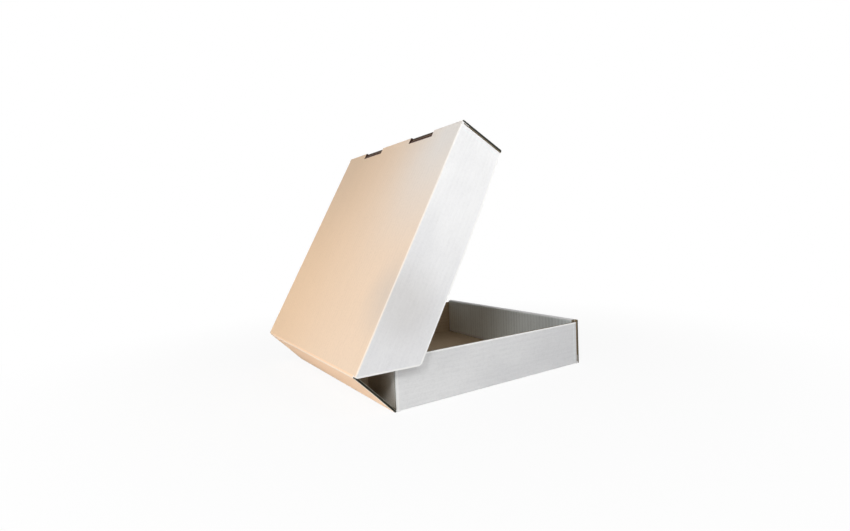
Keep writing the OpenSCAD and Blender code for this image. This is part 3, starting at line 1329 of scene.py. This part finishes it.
@dataclass
class CakeBox:
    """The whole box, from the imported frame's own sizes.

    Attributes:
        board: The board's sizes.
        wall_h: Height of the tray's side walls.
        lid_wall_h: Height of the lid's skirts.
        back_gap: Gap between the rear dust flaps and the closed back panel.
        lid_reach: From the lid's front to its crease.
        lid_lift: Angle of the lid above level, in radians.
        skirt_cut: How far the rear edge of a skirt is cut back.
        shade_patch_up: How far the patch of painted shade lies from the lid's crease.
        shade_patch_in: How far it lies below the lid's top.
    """

    board: Board
    wall_h: float = 62 * MILLIMETRE
    lid_wall_h: float = 71 * MILLIMETRE
    back_gap: float = 0.6 * MILLIMETRE
    lid_reach: float = 330.7 * MILLIMETRE
    lid_lift: float = math.radians(61)
    skirt_cut: float = 39 * MILLIMETRE
    shade_patch_up: float = 95 * MILLIMETRE
    shade_patch_in: float = 15 * MILLIMETRE

    def joint_axis(self, name: str) -> Vector:
        """Gives a point of a joint's axis at rest.

        Args:
            name: The joint's name.

        Returns:
            The point.
        """
        joint = next(joint for joint in frame["joints"] if joint["name"] == name)
        return Vector(joint["pos_m"])

    def tray_half(self) -> Half:
        """Reads the sizes of the tray from its node.

        Returns:
            The sizes.
        """
        low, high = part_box("base_tray")
        reach = high.y - low.y - self.board.thickness - self.back_gap
        origin = Vector((0, low.y, low.z))
        back, inward = Vector((0, 1, 0)), Vector((0, 0, 1))
        return Half(high.x - low.x, reach, self.wall_h, high.z - low.z, origin, back, inward)

    def lid_half(self) -> Half:
        """Reads the sizes of the lid; its directions come from its lift.

        Returns:
            The sizes.
        """
        low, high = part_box("lid")
        back = Vector((0, math.cos(self.lid_lift), -math.sin(self.lid_lift)))
        inward = Vector((0, -math.sin(self.lid_lift), -math.cos(self.lid_lift)))
        crease = self.joint_axis("lid_fold")
        origin = crease - back * self.lid_reach - inward * (self.board.thickness / 2)
        return Half(
            high.x - low.x, self.lid_reach, self.lid_wall_h, self.lid_wall_h, origin, back, inward
        )

    def back_half(self) -> Half:
        """Reads the sizes of the back panel, between the two creases.

        Returns:
            The sizes.
        """
        low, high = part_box("back_panel")
        foot, head = self.joint_axis("back_fold"), self.joint_axis("lid_fold")
        rise = (head - foot).normalized()
        inward = Vector((0, -rise.z, rise.y))
        origin = foot - inward * (self.board.thickness / 2)
        width = high.x - low.x
        return Half(width, (head - foot).length, width, width, origin, rise, inward)

    def build(self) -> list[bpy.types.Object]:
        """Builds and dresses every piece.

        Returns:
            The pieces.
        """
        board = self.board
        tray = BaseTray(self.tray_half(), board)
        lid = LidShell(self.lid_half(), board)
        back = BackPanel(self.back_half(), board)
        inside = BareInside().make(board)
        edge = CutEdge().make(board)
        # painted shade: darker copies of the cut edge for the lid and the back panel
        lid_edge = CutEdge(
            "painted_shade_lid_cut_edge",
            outer=(0.40, 0.395, 0.37),
            fluting=(0.042, 0.045, 0.034),
            inner=(0.10, 0.098, 0.072),
        ).make(board)
        back_edge = CutEdge(
            "painted_shade_back_cut_edge",
            outer=(0.86, 0.81, 0.71),
            fluting=(0.028, 0.026, 0.018),
            inner=(0.26, 0.25, 0.21),
        ).make(board)
        # painted light: one liner, whiter on the lid than on the tray, and a lighter buff on the
        # back panel than on the lid
        tray_liner = OuterLiner(
            "white_outer_liner",
            tray.half,
            # painted shade: the tray's walls duller towards the front
            front_painted_shade=0.8,
            white=(0.82, 0.82, 0.82),
            dim=(0.70, 0.702, 0.71),
        ).make(board)
        lid_liner = OuterLiner(
            "buff_and_white_lid_liner",
            lid.half,
            tint=PanelTint(),
            # painted shade: a soft grey patch over the lid's left fold
            shade_patch=ShadePatch(
                (-lid.half.width / 2, lid.half.reach - self.shade_patch_up, self.shade_patch_in)
            ),
            slant=self.skirt_cut,
            # painted shade: the lid's liner duller towards its crease
            rear_painted_shade=0.7,
            white=(0.95, 0.95, 0.95),
            dim=(0.80, 0.80, 0.81),
        ).make(board)
        back_liner = OuterLiner(
            "buff_back_liner",
            back.half,
            tint=PanelTint((0.94, 0.66, 0.435), (0.95, 0.72, 0.52), fold_in=1.0),
            open_sides=True,
            edge_white_and_highlight=(0.98, 0.90, 0.79),
        ).make(board)
        made = [
            piece.build({Side.OUTER: liner, Side.INSIDE: inside, Side.EDGE: cut})
            for piece, liner, cut in (
                (tray, tray_liner, edge),
                (back, back_liner, back_edge),
                (lid, lid_liner, lid_edge),
            )
        ]
        return made + [skin.build(back_liner) for skin in self.crease_skins(back, lid)]

    def crease_skins(self, back: BackPanel, lid: LidShell) -> tuple[CreaseSkin, CreaseSkin]:
        """Plans the skins round the two creases that move.

        Args:
            back: The back panel.
            lid: The lid.

        Returns:
            The skins of the rear crease and of the lid's crease.
        """
        foot, head = self.joint_axis("back_fold"), self.joint_axis("lid_fold")
        down, back_out, lid_out = Vector((0, 0, -1)), -back.half.inward, -lid.half.inward
        lean = math.acos(clamp(down.dot(back_out), -1.0, 1.0))
        turn = math.acos(clamp(back_out.dot(lid_out), -1.0, 1.0))
        return (
            CreaseSkin("back_crease_skin", back, foot, down, lean, (Body.TRAY, Body.BACK)),
            CreaseSkin("lid_crease_skin", back, head, back_out, turn, (Body.BACK, Body.LID)),
        )


# Studio


@dataclass(frozen=True)
class Lamp:
    """A soft square lamp that looks at the box.

    Attributes:
        name: Its name.
        place: Where it hangs.
        size: Length of its side.
        power: Its power in watts.
        aim: The place that it looks at.
    """

    name: str
    place: Place
    size: float
    power: float
    aim: Place = (0.0, 0.0, 0.12)

    def hang(self) -> bpy.types.Object:
        """Adds the lamp to the scene.

        Returns:
            The lamp.
        """
        light = bpy.data.lights.new(self.name, "AREA")
        light.shape = "SQUARE"
        light.size = self.size
        light.energy = self.power
        lamp = bpy.data.objects.new(self.name, light)
        bpy.context.scene.collection.objects.link(lamp)
        lamp.location = self.place
        beam = Vector(self.aim) - Vector(self.place)
        lamp.rotation_euler = beam.to_track_quat("-Z", "Y").to_euler()
        return lamp


@dataclass(frozen=True)
class PhotoCamera:
    """The camera as it stood for the photograph.

    Attributes:
        place: Its place, in metres.
        yaw: Compass turn of its view from +Y towards +X.
        pitch: Tilt of its view above level.
        roll: Turn about its view.
        focal: Focal length in pixels.
        centre: Pixel that its axis passes through.
        image: Size of the photograph in pixels.
        sensor: Width of its sensor in millimetres.
        near: Distance at which its view starts.
    """

    place: Place = (-0.6253, 0.4240, 0.2025)
    yaw: float = math.radians(122.65)
    pitch: float = math.radians(-2.44)
    roll: float = math.radians(-2.26)
    focal: float = 480.1
    centre: tuple[float, float] = (415.2, 254.2)
    image: tuple[int, int] = (850, 531)
    sensor: float = 36.0
    near: float = 0.01

    def stand(self) -> bpy.types.Object:
        """Adds the camera and makes it the scene's.

        Returns:
            The camera.
        """
        view = Vector(
            (
                math.sin(self.yaw) * math.cos(self.pitch),
                math.cos(self.yaw) * math.cos(self.pitch),
                math.sin(self.pitch),
            )
        )
        level = Vector((math.cos(self.yaw), -math.sin(self.yaw), 0))
        upright = level.cross(view)
        right = level * math.cos(self.roll) + upright * math.sin(self.roll)
        above = upright * math.cos(self.roll) - level * math.sin(self.roll)
        data = bpy.data.cameras.new("photo_camera")
        width, height = self.image
        data.sensor_width = self.sensor
        data.lens = self.sensor * self.focal / width
        data.shift_x = (width / 2 - self.centre[0]) / width
        data.shift_y = (self.centre[1] - height / 2) / width
        data.clip_start = self.near
        camera = bpy.data.objects.new("photo_camera", data)
        bpy.context.scene.collection.objects.link(camera)
        turn = Matrix((right, above, -view)).transposed()
        camera.matrix_world = Matrix.Translation(self.place) @ turn.to_4x4()
        bpy.context.scene.camera = camera
        return camera


@dataclass(frozen=True)
class Studio:
    """White sweep, soft lamps and a dim room.

    Attributes:
        floor_size: Length of the floor's side.
        floor_drop: How far the floor lies below the box, clear of its underside.
        floor_white: The floor's colour.
        shadow_share: How much of the box's shadow the floor keeps.
        shadow_start: Radius within which it keeps that share.
        shadow_end: Radius beyond which it keeps none.
        room: Strength of the light from all round.
        lamps: The lamps.
    """

    floor_size: float = 30.0
    floor_drop: float = 0.2 * MILLIMETRE
    floor_white: Colour = (0.86, 0.86, 0.86)
    shadow_share: float = 0.09
    shadow_start: float = 0.22
    shadow_end: float = 0.75
    room: float = 0.085
    lamps: tuple[Lamp, ...] = (
        Lamp("rear_key", (-0.15, 1.10, 0.30), 0.5, 5.5, (-0.10, 0.05, 0.20)),
        Lamp("rear_left_high", (-0.985, 1.005, 1.125), 0.45, 8.1),
        Lamp("left_front_low", (-1.582, -0.556, 0.387), 0.8, 6.2),
        Lamp("left_near", (-0.60, -0.10, 0.65), 0.3, 1.25, (-0.10, 0.05, 0.20)),
        Lamp("front_right_high", (0.985, -0.965, 1.125), 0.8, 1.6),
        Lamp("front_low", (0.847, -1.446, 0.298), 0.8, 2.6),
        Lamp("right_high", (1.393, 0.02, 1.125), 0.8, 2.6),
    )

    @staticmethod
    def seen(graph: Graph) -> Num:
        """Finds the rays of the camera and of reflections.

        Args:
            graph: The graph of the floor or of the world.

        Returns:
            A mask that is 1 for those rays.
        """
        camera, glossy, through = (
            graph.node("ShaderNodeLightPath", {}, {}, f"Is {kind} Ray")
            for kind in ("Camera", "Glossy", "Transmission")
        )
        return camera.larger(glossy).larger(through)

    def lay_floor(self) -> bpy.types.Object:
        """Lays the white floor, which keeps the box's shadow.

        Returns:
            The floor.
        """
        bare_selection()
        place = (0, 0, -self.floor_drop)
        bpy.ops.mesh.primitive_plane_add(size=self.floor_size, location=place)
        floor = bpy.context.active_object
        floor.name = "white_floor"
        graph = Graph(bpy.data.materials.new("white_sweep"))
        paper = graph.node("ShaderNodeBsdfDiffuse", {}, {"Color": (*self.floor_white, 1.0)})
        glow = graph.node("ShaderNodeEmission", {}, {"Color": WHITE_LIGHT, "Strength": 1.0})
        x, y, _ = graph.parts(graph.node("ShaderNodeTexCoord", {}, {}, "Object"))
        near = ((x * x + y * y) ** 0.5).ramp(self.shadow_end, self.shadow_start)
        share = self.seen(graph) * (1 - near * self.shadow_share)
        sweep = graph.node("ShaderNodeMixShader", {}, {0: share, 1: paper, 2: glow})
        graph.end(sweep, "Material")
        floor.data.materials.append(graph.holder)
        return floor

    def fill_room(self) -> None:
        """Gives the world a dim white that the camera sees as plain white."""
        bpy.context.scene.world = bpy.data.worlds.new("white_room")
        graph = Graph(bpy.context.scene.world)
        dim, white = (
            graph.node("ShaderNodeBackground", {}, {"Color": WHITE_LIGHT, "Strength": strength})
            for strength in (self.room, 1.0)
        )
        both = {0: self.seen(graph), 1: dim, 2: white}
        graph.end(graph.node("ShaderNodeMixShader", {}, both), "World")

    def build(self) -> None:
        """Sets up the floor, the room, the lamps and the camera."""
        self.lay_floor()
        self.fill_room()
        for lamp in self.lamps:
            lamp.hang()
        PhotoCamera().stand()
        bpy.context.scene.view_settings.view_transform = "Standard"
        log.info("studio: %d lamps", len(self.lamps))


def write_sizes() -> None:
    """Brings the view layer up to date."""
    bpy.context.view_layer.update()


def main() -> None:
    """Builds the box and its studio."""
    logging.basicConfig(level=logging.INFO, format="%(message)s")
    for piece in CakeBox(Board()).build():
        log.info("built %s", piece.name)
    Studio().build()
    write_sizes()


if __name__ == "__main__":
    main()
